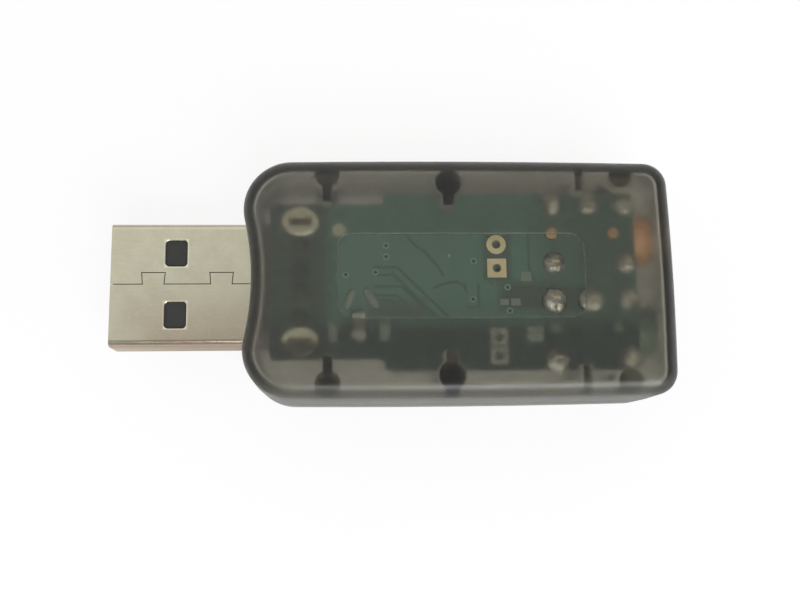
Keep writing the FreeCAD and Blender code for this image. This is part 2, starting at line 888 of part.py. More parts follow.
def build_all():
    plug_shell = build_plug_shell()
    nodes = {
        "upper_shell": build_upper_shell(),
        "lower_shell": build_lower_shell(),
        "plug_shell": plug_shell,
        "plug_insulator": build_plug_insulator(),
        "circuit_board": build_circuit_board(),
        "audio_chip": build_audio_chip(),
        "audio_chip_leads": build_audio_chip_leads(),
        "crystal": build_crystal(),
        "output_capacitor_bases": can_bases(),
        "output_capacitor_left": build_output_can(1),
        "output_capacitor_right": build_output_can(-1),
        "ceramic_capacitors": build_ceramic_capacitors(),
        "chip_resistors": build_chip_resistors(),
        "filter_capacitor": build_filter_capacitor(),
        "plug_pin_solder": build_plug_solder(),
        "plug_leg_solder": build_leg_solder(plug_shell),
    }
    for name, row in zip(("ground", "data_plus", "data_minus", "power"), contact_rows):
        nodes["plug_contact_" + name] = build_plug_contact(row)
    nodes.update(jack_nodes("microphone", jack_rows()[0]))
    nodes.update(jack_nodes("headphone", jack_rows()[1]))
    return nodes


os.makedirs("parts", exist_ok=True)
for node, shape in build_all().items():
    shape.exportStep("parts/" + node + ".step")
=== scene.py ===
# Dresses a small audio adapter: smoke case, plated plug, green board, two jacks
import math
import bpy
import bmesh
from mathutils import Matrix, Vector


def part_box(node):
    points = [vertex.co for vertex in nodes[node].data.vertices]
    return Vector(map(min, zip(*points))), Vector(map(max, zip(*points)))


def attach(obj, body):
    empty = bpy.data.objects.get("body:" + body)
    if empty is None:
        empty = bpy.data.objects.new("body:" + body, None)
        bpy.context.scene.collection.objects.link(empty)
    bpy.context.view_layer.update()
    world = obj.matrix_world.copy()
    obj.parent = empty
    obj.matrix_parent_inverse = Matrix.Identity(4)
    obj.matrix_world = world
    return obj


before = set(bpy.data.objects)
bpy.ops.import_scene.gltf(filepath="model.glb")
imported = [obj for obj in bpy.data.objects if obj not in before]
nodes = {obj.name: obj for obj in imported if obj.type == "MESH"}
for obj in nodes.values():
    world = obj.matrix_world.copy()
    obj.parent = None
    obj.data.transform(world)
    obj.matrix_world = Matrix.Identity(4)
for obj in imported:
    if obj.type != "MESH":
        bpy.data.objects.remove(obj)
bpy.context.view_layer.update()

mm = 0.001
scene = bpy.context.scene
scene.view_settings.view_transform = "Standard"
print("stage: frame loaded,", len(nodes), "nodes")


# small helpers for node trees
def addNode(tree, kind, inputs=None, **settings):
    made = tree.nodes.new(kind)
    for name, value in settings.items():
        setattr(made, name, value)
    for name, value in (inputs or {}).items():
        if isinstance(value, bpy.types.NodeSocket):
            tree.links.new(value, made.inputs[name])
        else:
            made.inputs[name].default_value = value
    return made


def mathNode(tree, operation, first, second=0.0):
    return addNode(tree, "ShaderNodeMath", {0: first, 1: second}, operation=operation).outputs[0]


def vectorNode(tree, operation, first, second=(0.0, 0.0, 0.0)):
    return addNode(tree, "ShaderNodeVectorMath", {0: first, 1: second}, operation=operation).outputs


def rangeNode(tree, value, span, low=0.0, high=1.0, blend="LINEAR"):
    sockets = {"Value": value, "From Min": span[0], "From Max": span[1], "To Min": low, "To Max": high}
    return addNode(tree, "ShaderNodeMapRange", sockets, interpolation_type=blend).outputs[0]


# the mix node's colours are its sockets 6 and 7, and its output 2
def mixColour(tree, factor, first, second):
    made = addNode(tree, "ShaderNodeMix", data_type="RGBA")
    for index, value in ((0, factor), (6, first), (7, second)):
        if isinstance(value, bpy.types.NodeSocket):
            tree.links.new(value, made.inputs[index])
        else:
            made.inputs[index].default_value = value if index == 0 else (*value, 1.0)
    return made.outputs[2]


def newGroup(name, inputs, outputs):
    tree = bpy.data.node_groups.new(name, "ShaderNodeTree")
    for label, value in inputs.items():
        kind = "NodeSocketVector" if isinstance(value, tuple) else "NodeSocketFloat"
        tree.interface.new_socket(label, in_out="INPUT", socket_type=kind).default_value = value
    for label in outputs:
        tree.interface.new_socket(label, in_out="OUTPUT", socket_type="NodeSocketFloat")
    return tree, tree.nodes.new("NodeGroupInput").outputs, tree.nodes.new("NodeGroupOutput").inputs


def placeGroup(tree, group, **values):
    made = tree.nodes.new("ShaderNodeGroup")
    made.node_tree = group
    for name, value in values.items():
        made.inputs[name].default_value = value
    return made.outputs


# the place on the part, in mm
def partPoint(tree):
    place = addNode(tree, "ShaderNodeTexCoord").outputs["Object"]
    return addNode(tree, "ShaderNodeVectorMath", {0: place, 3: 1 / mm}, operation="SCALE").outputs[0]


# lowest and highest corners of the separate solids in a node, in mm
def solidBoxes(name, weld=0.001):
    work = bmesh.new()
    work.from_mesh(nodes[name].data)
    work.transform(nodes[name].matrix_world)
    bmesh.ops.remove_doubles(work, verts=work.verts, dist=weld * mm)
    left = set(work.verts)
    boxes = []
    while left:
        front = [left.pop()]
        solid = []
        while front:
            vert = front.pop()
            solid.append(vert.co / mm)
            fresh = {edge.other_vert(vert) for edge in vert.link_edges} & left
            left -= fresh
            front += fresh
        columns = list(zip(*solid))
        boxes.append([Vector([pick(column) for column in columns]) for pick in (min, max)])
    work.free()
    return sorted(boxes, key=lambda box: tuple(box[0]))


# mesh work is in mm until the piece is made
def newPiece(name, work, finish, smooth=False):
    bmesh.ops.recalc_face_normals(work, faces=work.faces)
    work.transform(Matrix.Scale(mm, 4))
    mesh = bpy.data.meshes.new(name)
    work.to_mesh(mesh)
    work.free()
    mesh.materials.append(finish)
    for face in mesh.polygons:
        face.use_smooth = smooth
    piece = bpy.data.objects.new(name, mesh)
    scene.collection.objects.link(piece)
    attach(piece, "root")


def joinRings(work, rings, closed):
    pairs = list(zip(rings, rings[1:])) + ([(rings[-1], rings[0])] if closed else [])
    for first, second in pairs:
        for index in range(len(first)):
            work.faces.new((first[index], first[index - 1], second[index - 1], second[index]))
    if not closed:
        work.faces.new(rings[0])
        work.faces.new(rings[-1])


# a flat plate whose rim runs through the given angles of a circle
def layPlate(work, centre, radius, angles, low, high):
    rim = [(centre[0] + radius * math.cos(angle), centre[1] + radius * math.sin(angle)) for angle in angles]
    joinRings(work, [[work.verts.new((*spot, z)) for spot in rim] for z in (low, high)], False)


# a disc over a hole
def layTent(work, centre, half, low, high, sides=24):
    layPlate(work, centre, half, [2 * math.pi * index / sides for index in range(sides)], low, high)


# a flat strip along a route on the board
def layStrip(work, route, width, low, high):
    path = [Vector(point) for point in route]
    rings = []
    for index, point in enumerate(path):
        ahead = (path[min(index + 1, len(path) - 1)] - path[max(index - 1, 0)]).normalized()
        side = Vector((-ahead.y, ahead.x)) * width / 2
        corners = ((side, low), (side, high), (-side, high), (-side, low))
        rings.append([work.verts.new((*(point + reach), z)) for reach, z in corners])
    joinRings(work, rings, False)


# a round or square land with a hole in it
def layLand(work, centre, half, hole, low, high, square=False, sides=32):
    rings = []
    for index in range(sides):
        angle = 2 * math.pi * index / sides
        ray = Vector((math.cos(angle), math.sin(angle)))
        reach = half / max(abs(ray.x), abs(ray.y)) if square else half
        corners = ((hole, low), (hole, high), (reach, high), (reach, low))
        rings.append([work.verts.new((*(Vector(centre) + ray * away), z)) for away, z in corners])
    joinRings(work, rings, True)


# a block with rounded edges
def laySoftBlock(work, low, high, edge):
    verts = bmesh.ops.create_cube(work, size=1.0)["verts"]
    for vert in verts:
        vert.co = Vector([low[axis] + (vert.co[axis] + 0.5) * (high[axis] - low[axis]) for axis in range(3)])
    edges = list({link for vert in verts for link in vert.link_edges})
    bmesh.ops.bevel(work, geom=edges, offset=edge, segments=2, profile=0.5, affect="EDGES")


# a long drop of solder between two points on the board, cut just short of its tips
def layDrop(work, start, end, half, base, rise, stations=11, sides=12, tip=0.99):
    start, end = Vector(start), Vector(end)
    along = (end - start).normalized()
    aside = Vector((-along.y, along.x))
    reach = (end - start).length / 2 + half
    rings = []
    for index in range(stations):
        share = tip * (2 * index / (stations - 1) - 1)
        swell = (1 - share ** 4) ** 0.5
        middle = (start + end) / 2 + along * reach * share
        ring = []
        for step in range(sides):
            angle = math.pi * step / (sides - 1)
            point = middle + aside * half * swell * math.cos(angle)
            ring.append(work.verts.new((*point, base + rise * swell * math.sin(angle))))
        rings.append(ring)
    joinRings(work, rings, False)


# fine moulded grain and a slow drift of tone, both 0 to 1
def buildMouldGrain():
    tree, given, result = newGroup("mouldGrain", {"Grain": 6.0, "Drift": 0.35}, ("Grain", "Drift"))
    point = partPoint(tree)
    for label, detail in (("Grain", 3.0), ("Drift", 2.0)):
        sockets = {"Vector": point, "Scale": given[label], "Detail": detail}
        noise = addNode(tree, "ShaderNodeTexNoise", sockets)
        tree.links.new(noise.outputs["Fac"], result[label])
    return tree


evenly = (1.0, 1.0, 1.0)  # lines that run no way in particular
sharp = 0.001  # fade of a mask with a hard edge, in mm


# drawn lines along the part and cloudy plating, both 0 to 1
def buildDrawnMetal():
    inputs = {"Lines": 9.0, "Cloud": 0.5, "Stretch": (0.06, 1.0, 1.0)}
    tree, given, result = newGroup("drawnMetal", inputs, ("Lines", "Cloud"))
    point = partPoint(tree)
    drawn = vectorNode(tree, "MULTIPLY", point, given["Stretch"])[0]
    for label, place, detail in (("Lines", drawn, 4.0), ("Cloud", point, 3.0)):
        sockets = {"Vector": place, "Scale": given[label], "Detail": detail}
        noise = addNode(tree, "ShaderNodeTexNoise", sockets)
        tree.links.new(noise.outputs["Fac"], result[label])
    return tree


# 1 inside a box that is given by its middle and half size in mm, with an edge that fades in over Soft
def buildBoxMask():
    inputs = {"Middle": (0.0, 0.0, 0.0), "Half": (1.0, 1.0, 1.0), "Soft": sharp}
    tree, given, result = newGroup("boxMask", inputs, ("Mask",))
    shifted = vectorNode(tree, "SUBTRACT", partPoint(tree), given["Middle"])[0]
    size = vectorNode(tree, "ABSOLUTE", shifted)[0]
    room = vectorNode(tree, "SUBTRACT", given["Half"], size)[0]
    parts = addNode(tree, "ShaderNodeSeparateXYZ", {0: room}).outputs
    least = mathNode(tree, "MINIMUM", mathNode(tree, "MINIMUM", parts[0], parts[1]), parts[2])
    tree.links.new(rangeNode(tree, least, (0.0, given["Soft"])), result["Mask"])
    return tree


mouldGrain = buildMouldGrain()
drawnMetal = buildDrawnMetal()
boxMask = buildBoxMask()


def maskIn(tree, middle, half, soft=sharp):
    return placeGroup(tree, boxMask, Middle=middle, Half=half, Soft=soft)[0]


# lays patches of other tones over a tone: middle, half size, fade and colour of each
def layPatches(tree, tone, patches):
    for middle, half, fade, colour in patches:
        tone = mixColour(tree, maskIn(tree, middle, half, fade), tone, colour)
    return tone


def newMaterial(name):
    made = bpy.data.materials.new(name)
    made.use_nodes = True
    made.node_tree.nodes.clear()
    tree = made.node_tree
    return made, tree, tree.nodes.new("ShaderNodeOutputMaterial")


def opaqueBody(tree, out, sockets):
    body = addNode(tree, "ShaderNodeBsdfPrincipled", sockets)
    tree.links.new(body.outputs[0], out.inputs["Surface"])


def bumped(tree, height, strength, reach):
    sockets = {"Height": height, "Strength": strength, "Distance": reach * mm}
    return addNode(tree, "ShaderNodeBump", sockets).outputs[0]


# smoke plastic: frosted and a little dusty outside, rougher on its edges and sides, polished in the label
# recess and on the flat inner faces; from inside, the end walls are smoother, so the ends look dark
smoke = {
    "absorbs": (0.355, 0.335, 0.225), "density": 800.0, "bend": 1.5, "lampTint": (0.96, 0.96, 0.95),
    "frosted": 0.285, "edges": 0.48, "edgeSpan": (0.8, 0.998), "sides": 0.85, "sideSpan": (0.05, 0.35),
    "drift": 0.3, "driftSpan": (0.3, 0.7), "driftAdds": 0.06,
    "clean": (1.0, 1.0, 1.0), "dusty": (0.86, 0.86, 0.85), "mottle": 0.9, "mottleSpan": (0.36, 0.64),
    "haze": 0.24, "hazeSpread": 0.48, "middleZ": 6.2,
    "polished": 0.05, "windowMiddle": (6.4, 0.0), "windowHalf": (11.85, 4.12, 0.2),
    "upperRecess": 12.15, "lowerRecess": 0.25,
    "inner": 0.06, "innerSides": 0.95, "innerSpan": (0.9, 0.99),
    "innerMiddle": (6.5, 0.0), "innerHalf": (19.8, 10.8, 5.5),
    "ends": 0.26, "longFrom": -12.5, "upperLongTo": 25.6, "lowerLongTo": 40.0, "longFade": 2.5, "wide": 40.0,
}


def smokePlastic(name, recessZ, longTo):
    made, tree, out = newMaterial(name)
    window = maskIn(tree, (*smoke["windowMiddle"], recessZ), smoke["windowHalf"])
    inner = maskIn(tree, (*smoke["innerMiddle"], smoke["middleZ"]), smoke["innerHalf"])
    outside = mathNode(tree, "SUBTRACT", 1.0, mathNode(tree, "MAXIMUM", window, inner))
    grain = placeGroup(tree, mouldGrain, Grain=smoke["mottle"], Drift=smoke["drift"])
    surface = addNode(tree, "ShaderNodeNewGeometry").outputs
    upward = addNode(tree, "ShaderNodeSeparateXYZ", {0: surface["Normal"]}).outputs[2]
    level = mathNode(tree, "ABSOLUTE", upward)  # 1 on flat faces, 0 on upright walls
    frost = rangeNode(tree, level, smoke["edgeSpan"], smoke["edges"], smoke["frosted"])
    steep = rangeNode(tree, level, smoke["sideSpan"], smoke["sides"] - smoke["edges"], 0.0)
    drift = rangeNode(tree, grain["Drift"], smoke["driftSpan"], 0.0, smoke["driftAdds"])
    frosted = mathNode(tree, "ADD", mathNode(tree, "ADD", frost, steep), drift)
    walls = rangeNode(tree, level, smoke["innerSpan"], smoke["innerSides"], smoke["inner"])
    calm = mathNode(tree, "ADD", mathNode(tree, "MULTIPLY", inner, walls),
                    mathNode(tree, "MULTIPLY", window, smoke["polished"]))
    entered = mathNode(tree, "ADD", mathNode(tree, "MULTIPLY", outside, frosted), calm)
    longHalf = (longTo - smoke["longFrom"]) / 2
    longWalls = maskIn(tree, (longTo - longHalf, 0.0, smoke["middleZ"]),
                       (longHalf, smoke["wide"], smoke["wide"]), smoke["longFade"])
    endWalls = mathNode(tree, "MULTIPLY", surface["Backfacing"], mathNode(tree, "SUBTRACT", 1.0, longWalls))
    dusty = mathNode(tree, "MULTIPLY", outside, rangeNode(tree, grain["Grain"], smoke["mottleSpan"]))
    body = addNode(tree, "ShaderNodeBsdfPrincipled", {
        "Base Color": mixColour(tree, dusty, smoke["clean"], smoke["dusty"]),
        "Roughness": rangeNode(tree, endWalls, (0.0, 1.0), entered, smoke["ends"]),
        "Transmission Weight": 1.0, "IOR": smoke["bend"],
        "Sheen Weight": smoke["haze"], "Sheen Roughness": smoke["hazeSpread"],
    })
    lamps = addNode(tree, "ShaderNodeBsdfTransparent", {"Color": (*smoke["lampTint"], 1.0)})
    path = addNode(tree, "ShaderNodeLightPath").outputs["Is Shadow Ray"]
    both = addNode(tree, "ShaderNodeMixShader", {0: path, 1: body.outputs[0], 2: lamps.outputs[0]})
    tree.links.new(both.outputs[0], out.inputs["Surface"])
    depth = addNode(tree, "ShaderNodeVolumeAbsorption",
                    {"Color": (*smoke["absorbs"], 1.0), "Density": smoke["density"]})
    tree.links.new(depth.outputs[0], out.inputs["Volume"])
    return made


# moulded plastics of the jacks, the insulator and the chips, and other finishes with an even, dull grain
mould = {"drift": 0.5, "grainSpan": (0.2, 0.8), "uneven": 0.08, "bump": 0.3}


def mouldedPlastic(name, low, high, roughness, grainScale, relief=0.01, worn=()):
    made, tree, out = newMaterial(name)
    grain = placeGroup(tree, mouldGrain, Grain=grainScale, Drift=mould["drift"])
    smoothest, roughest = roughness - mould["uneven"], roughness + mould["uneven"]
    opaqueBody(tree, out, {
        "Base Color": layPatches(tree, mixColour(tree, grain["Drift"], low, high), worn),
        "Roughness": rangeNode(tree, grain["Grain"], mould["grainSpan"], smoothest, roughest),
        "Normal": bumped(tree, grain["Grain"], mould["bump"], relief),
    })
    return made


# drawn, plated and polished metals
plating = {
    "cloud": 0.45, "cloudSpan": (0.35, 0.65), "lineSpan": (0.25, 0.75),
    "smoother": 0.06, "rougher": 0.08, "bump": 0.2,
}


def cloudedTone(tree, drawn, low, high):
    return mixColour(tree, rangeNode(tree, drawn["Cloud"], plating["cloudSpan"]), low, high)


def drawnSurface(tree, drawn, roughness, relief):
    smoothest, roughest = roughness - plating["smoother"], roughness + plating["rougher"]
    return {
        "Metallic": 1.0,
        "Roughness": rangeNode(tree, drawn["Lines"], plating["lineSpan"], smoothest, roughest),
        "Normal": bumped(tree, drawn["Lines"], plating["bump"], relief),
    }


def drawnPlate(name, low, high, roughness, lines, stretch=evenly, relief=0.02):
    made, tree, out = newMaterial(name)
    drawn = placeGroup(tree, drawnMetal, Lines=lines, Cloud=plating["cloud"], Stretch=stretch)
    tone = cloudedTone(tree, drawn, low, high)
    opaqueBody(tree, out, {"Base Color": tone, **drawnSurface(tree, drawn, roughness, relief)})
    return made


# plug metals: painted shade, warm, over the near side and a painted dark reflection in its bend, painted
# highlights round the latch holes, finely specked outside the case and painted shade inside it, with a tint
# that dims what they mirror at a grazing angle
plugLook = {
    "along": (0.06, 1.0, 1.0), "grazing": (0.74, 0.68, 0.62),
    # painted shade, warm, over the near side of the plug
    "nearSideShade": ((-14.0, -9.0, 6.0), (12.5, 9.0, 20.0), 9.0, (0.46, 0.345, 0.26)),
    # painted dark reflection along the plug's near bend
    "bendReflection": ((-20.0, -6.3, 8.0), (8.0, 0.9, 1.5), 0.7, (0.42, 0.315, 0.24)),
    "holes": ((-20.825, 3.025, 6.0), (-20.825, -3.025, 6.0)),
    # the pale rims round the latch holes are painted highlights
    "rimHighlightHalf": (1.23, 1.48, 20.0), "rimHighlightFade": 0.22, "rim": (0.86, 0.84, 0.66),
    "speckScale": 2.6, "speckSpan": (0.52, 0.7), "speckShare": 0.07, "speck": (0.9, 0.88, 0.8),
    # painted shade over the metal inside the case
    "shadeInCase": ((0.0, 0.0, 6.0), (13.2, 20.0, 20.0), 0.6, (0.13, 0.12, 0.095)),
}


def plugMetal(name, low, high, roughness, lines, relief):
    made, tree, out = newMaterial(name)
    drawn = placeGroup(tree, drawnMetal, Lines=lines, Cloud=plating["cloud"], Stretch=plugLook["along"])
    # painted highlights round the latch holes, painted shade on the near side and a painted dark reflection
    # in the bend
    rimHighlights = [(hole, plugLook["rimHighlightHalf"], plugLook["rimHighlightFade"], plugLook["rim"]) for hole in plugLook["holes"]]
    plate = cloudedTone(tree, drawn, low, high)
    plate = layPatches(tree, plate, [plugLook["nearSideShade"], plugLook["bendReflection"], *rimHighlights])
    fine = placeGroup(tree, drawnMetal, Lines=plugLook["speckScale"], Stretch=evenly)
    specks = rangeNode(tree, fine["Lines"], plugLook["speckSpan"], 0.0, plugLook["speckShare"])
    plate = mixColour(tree, specks, plate, plugLook["speck"])
    # painted shade over the metal inside the case
    opaqueBody(tree, out, {
        "Base Color": layPatches(tree, plate, [plugLook["shadeInCase"]]),
        "Specular Tint": (*plugLook["grazing"], 1.0),
        **drawnSurface(tree, drawn, roughness, relief),
    })
    return made


# solder mask over the laminate, with patches of another tone, one of them painted shade along the near edge:
# middle, half size, fade and colour
boardLook = {
    "low": (0.051, 0.122, 0.090), "high": (0.068, 0.153, 0.116), "edge": (0.30, 0.27, 0.14), "skin": 0.03,
    "grain": 3.5, "drift": 0.28, "smooth": 0.28, "rough": 0.42, "bump": 0.25, "relief": 0.02,
    "patchDepth": 5.0,
    "patches": (
        ((21.5, 0.0), (8.5, 12.0), 2.5, (0.050, 0.100, 0.076)),
        ((-12.0, 0.0), (6.5, 12.0), 1.5, (0.036, 0.062, 0.047)),
        # painted shade along the near edge of the board
        ((6.0, -8.0), (40.0, 4.6), 1.4, (0.004, 0.024, 0.018)),
        ((10.2, 2.4), (1.6, 2.6), 0.5, (0.040, 0.072, 0.055)),
        ((13.4, -1.5), (3.6, 2.0), 1.2, (0.034, 0.058, 0.046)),
        ((17.6, -1.8), (2.8, 1.4), 0.5, (0.034, 0.058, 0.045)),
        ((0.4, -2.9), (3.4, 1.7), 1.5, (0.052, 0.080, 0.062)),
    ),
}


def solderMask():
    made, tree, out = newMaterial("solderMask")
    low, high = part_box("circuit_board")
    middle = (low + high) / 2 / mm
    half = (high - low) / 2 / mm
    grain = placeGroup(tree, mouldGrain, Grain=boardLook["grain"], Drift=boardLook["drift"])
    patches = [((*place, middle.z), (*reach, boardLook["patchDepth"]), fade, tone)
               for place, reach, fade, tone in boardLook["patches"]]
    cutEdges = (tuple(middle), (half.x, half.y, half.z - boardLook["skin"]), sharp, boardLook["edge"])
    tone = mixColour(tree, grain["Drift"], boardLook["low"], boardLook["high"])
    opaqueBody(tree, out, {
        "Base Color": layPatches(tree, tone, [*patches, cutEdges]),
        "Roughness": rangeNode(tree, grain["Grain"], mould["grainSpan"],
                               boardLook["smooth"], boardLook["rough"]),
        "Normal": bumped(tree, grain["Grain"], boardLook["bump"], boardLook["relief"]),
    })
    return made


# solder round the plug's legs: a pale rim and a brown well, with painted shade over the lower part of one leg
legLook = {
    "low": (0.58, 0.56, 0.45), "high": (0.70, 0.67, 0.54), "lines": 5.0,
    "wellHalf": (1.2, 0.5, 1.0), "wellFade": 0.2, "well": (0.24, 0.21, 0.15),
    # painted shade over the lower part of one leg's solder
    "legShade": ((-8.85, -7.0, 9.5), (2.4, 1.45, 1.0), 0.6, (0.10, 0.09, 0.07)),
    "smooth": 0.36, "rough": 0.52, "bump": 0.3, "relief": 0.03,
}


def legSolder():
    made, tree, out = newMaterial("legSolder")
    drawn = placeGroup(tree, drawnMetal, Lines=legLook["lines"], Cloud=plating["cloud"], Stretch=evenly)
    wells = [(tuple((low + high) / 2), legLook["wellHalf"], legLook["wellFade"], legLook["well"])
             for low, high in solidBoxes("plug_leg_solder")]
    tone = cloudedTone(tree, drawn, legLook["low"], legLook["high"])
    # painted shade darkens the lower part of one leg's solder
    opaqueBody(tree, out, {
        "Base Color": layPatches(tree, tone, [*wells, legLook["legShade"]]), "Metallic": 1.0,
        "Roughness": rangeNode(tree, drawn["Lines"], plating["lineSpan"],
                               legLook["smooth"], legLook["rough"]),
        "Normal": bumped(tree, drawn["Lines"], legLook["bump"], legLook["relief"]),
    })
    return made


# lumpy solder on the jacks' tails, with flux left in its hollows and two joints that shine
jointLook = {
    "flux": (0.15, 0.145, 0.12), "tin": (0.44, 0.435, 0.40), "fluxScale": 0.9, "fluxSpan": (0.36, 0.62),
    "dull": 0.46, "shiny": 0.2, "lumps": 1.3, "bump": 0.6, "relief": 0.5,
    "shinyMiddle": (17.6, -1.78, 9.5), "shinyHalf": (3.0, 1.3, 1.0), "shinyFade": 0.4,
}


def jackSolder():
    made, tree, out = newMaterial("jackSolder")
    lumps = placeGroup(tree, drawnMetal, Lines=jointLook["lumps"], Cloud=jointLook["fluxScale"],
                       Stretch=evenly)
    shiny = maskIn(tree, jointLook["shinyMiddle"], jointLook["shinyHalf"], jointLook["shinyFade"])
    clean = rangeNode(tree, lumps["Cloud"], jointLook["fluxSpan"])
    opaqueBody(tree, out, {
        "Base Color": mixColour(tree, clean, jointLook["flux"], jointLook["tin"]), "Metallic": 1.0,
        "Roughness": rangeNode(tree, shiny, (0.0, 1.0), jointLook["dull"], jointLook["shiny"]),
        "Normal": bumped(tree, lumps["Lines"], jointLook["bump"], jointLook["relief"]),
    })
    return made


# metals
nickelPlate = plugMetal("nickelPlate", (0.56, 0.535, 0.40), (0.61, 0.585, 0.445),
                        roughness=0.2, lines=9.0, relief=0.004)
contactGold = plugMetal("contactGold", (0.72, 0.50, 0.20), (0.85, 0.62, 0.28),
                        roughness=0.22, lines=12.0, relief=0.003)
springBronze = drawnPlate("springBronze", (0.62, 0.52, 0.33), (0.72, 0.63, 0.44),
                          roughness=0.28, lines=10.0, stretch=(1.0, 1.0, 0.1), relief=0.004)
canAluminium = drawnPlate("canAluminium", (0.62, 0.62, 0.61), (0.72, 0.72, 0.71),
                          roughness=0.3, lines=8.0, stretch=(1.0, 1.0, 0.1), relief=0.006)
padGold = drawnPlate("padGold", (0.72, 0.62, 0.38), (0.84, 0.74, 0.48),
                     roughness=0.38, lines=7.0, relief=0.01)
brightTin = drawnPlate("brightTin", (0.50, 0.49, 0.46), (0.66, 0.65, 0.62), roughness=0.22, lines=4.0)
agedTin = drawnPlate("agedTin", (0.25, 0.25, 0.22), (0.33, 0.33, 0.29), roughness=0.45, lines=5.0)
wornTin = drawnPlate("wornTin", (0.12, 0.13, 0.11), (0.17, 0.18, 0.155), roughness=0.5, lines=5.0)
fluxedTin = drawnPlate("fluxedTin", (0.06, 0.06, 0.055), (0.10, 0.10, 0.09), roughness=0.5, lines=6.0)
paleTin = drawnPlate("paleTin", (0.52, 0.50, 0.38), (0.64, 0.62, 0.49), roughness=0.45, lines=5.0)
jackTin = jackSolder()

# solder that has gone dull and no longer mirrors
endSolder = mouldedPlastic("endSolder", (0.22, 0.235, 0.205), (0.34, 0.35, 0.315),
                           roughness=0.32, grainScale=2.0, relief=0.06)
dullTin = mouldedPlastic("dullTin", (0.12, 0.16, 0.125), (0.20, 0.235, 0.195),
                         roughness=0.38, grainScale=2.5, relief=0.05)

# mask over copper, painted shade in the via holes, and mask over bare laminate
viaMask = mouldedPlastic("viaMask", (0.115, 0.235, 0.18), (0.14, 0.275, 0.21), roughness=0.32, grainScale=4.0)
# painted shade: near black discs over the via holes
viaHoleShade = mouldedPlastic("viaHoleShade", (0.014, 0.026, 0.020), (0.020, 0.034, 0.026),
                         roughness=0.5, grainScale=4.0)
bareMask = mouldedPlastic("bareMask", (0.034, 0.078, 0.056), (0.046, 0.098, 0.070),
                          roughness=0.35, grainScale=4.0)

# plastics and ceramics; the pink jack's pegs are browned above the board
pegEnds = ((18.0, 4.7, 10.2), (9.0, 8.0, 1.0), sharp, (0.42, 0.27, 0.13))
jackPink = mouldedPlastic("jackPink", (0.60, 0.29, 0.14), (0.68, 0.35, 0.18),
                          roughness=0.4, grainScale=6.0, worn=[pegEnds])
jackGreen = mouldedPlastic("jackGreen", (0.085, 0.125, 0.085), (0.105, 0.145, 0.105),
                           roughness=0.4, grainScale=6.0)
insulatorBlack = mouldedPlastic("insulatorBlack", (0.016, 0.016, 0.015), (0.024, 0.024, 0.022),
                                roughness=0.5, grainScale=8.0)
chipBlack = mouldedPlastic("chipBlack", (0.018, 0.018, 0.02), (0.03, 0.03, 0.032),
                           roughness=0.55, grainScale=9.0, relief=0.012)
ceramicTan = mouldedPlastic("ceramicTan", (0.42, 0.28, 0.16), (0.52, 0.37, 0.22),
                            roughness=0.5, grainScale=7.0)
filterBrown = mouldedPlastic("filterBrown", (0.10, 0.085, 0.06), (0.14, 0.12, 0.085),
                             roughness=0.5, grainScale=7.0)

# each finish and the nodes that wear it
jacks = ("microphone", "headphone")
springParts = ("sleeve_spring", "ring_spring", "tip_spring", "ring_switch", "tip_switch")
wornBy = [
    (smokePlastic("smokeUpper", smoke["upperRecess"], smoke["upperLongTo"]), ["upper_shell"]),
    (smokePlastic("smokeLower", smoke["lowerRecess"], smoke["lowerLongTo"]), ["lower_shell"]),
    (nickelPlate, ["plug_shell"]),
    (insulatorBlack, ["plug_insulator", "output_capacitor_bases"]),
    (contactGold, ["plug_contact_" + row for row in ("ground", "data_plus", "data_minus", "power")]),
    (solderMask(), ["circuit_board"]),
    (jackPink, ["microphone_jack_body"]),
    (jackGreen, ["headphone_jack_body"]),
    (springBronze, [jack + "_jack_" + part for jack in jacks for part in springParts]),
    (chipBlack, ["audio_chip", "chip_resistors"]),
    (canAluminium, ["crystal", "output_capacitor_left", "output_capacitor_right"]),
    (ceramicTan, ["ceramic_capacitors"]),
    (filterBrown, ["filter_capacitor"]),
    (brightTin, ["audio_chip_leads"]),
    (jackTin, [jack + "_jack_solder" for jack in jacks]),
    (legSolder(), ["plug_leg_solder"]),
    (fluxedTin, ["plug_pin_solder"]),
]
for finish, names in wornBy:
    for name in names:
        nodes[name].data.materials.clear()
        nodes[name].data.materials.append(finish)
print("stage: finishes on", sum(len(names) for _, names in wornBy), "nodes")


# gaps in the copper under the mask of the upper face, as low dark strips; a bus row has its y and its bend
boardLow, boardHigh = (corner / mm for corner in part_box("circuit_board"))
gaps = {
    "width": 0.28, "lift": 0.012, "busStart": -1.8, "busEnd": -4.4,
    "busRows": ((1.36, 0.45), (0.62, 0.1), (-0.55, 0.9), (-1.4, 0.4), (-1.85, -0.1)),
    "routes": (
        ((1.2, 5.2), (1.64, 4.17), (2.33, 3.4), (3.0, 3.05), (4.55, 1.25), (4.9, 0.4)),
        ((3.87, -0.73), (5.06, -0.24), (6.14, -0.08), (6.89, -0.41), (7.14, -1.1)),
        ((9.05, 6.6), (9.05, 0.4), (9.75, -0.5)),
        ((13.3, 6.9), (13.3, 1.2), (14.1, -0.45), (18.4, -0.4)),
        ((8.3, -0.3), (8.3, -2.6), (7.0, -2.6)),
    ),
}


def drawGaps():
    top = boardHigh.z + gaps["lift"]
    work = bmesh.new()
    for row, bend in gaps["busRows"]:
        fall = row - gaps["busEnd"]
        route = ((gaps["busStart"], row), (bend, row), (bend + fall, gaps["busEnd"]))
        layStrip(work, route, gaps["width"], boardHigh.z, top)
    for route in gaps["routes"]:
        layStrip(work, route, gaps["width"], boardHigh.z, top)
    newPiece("copperGaps", work, bareMask)


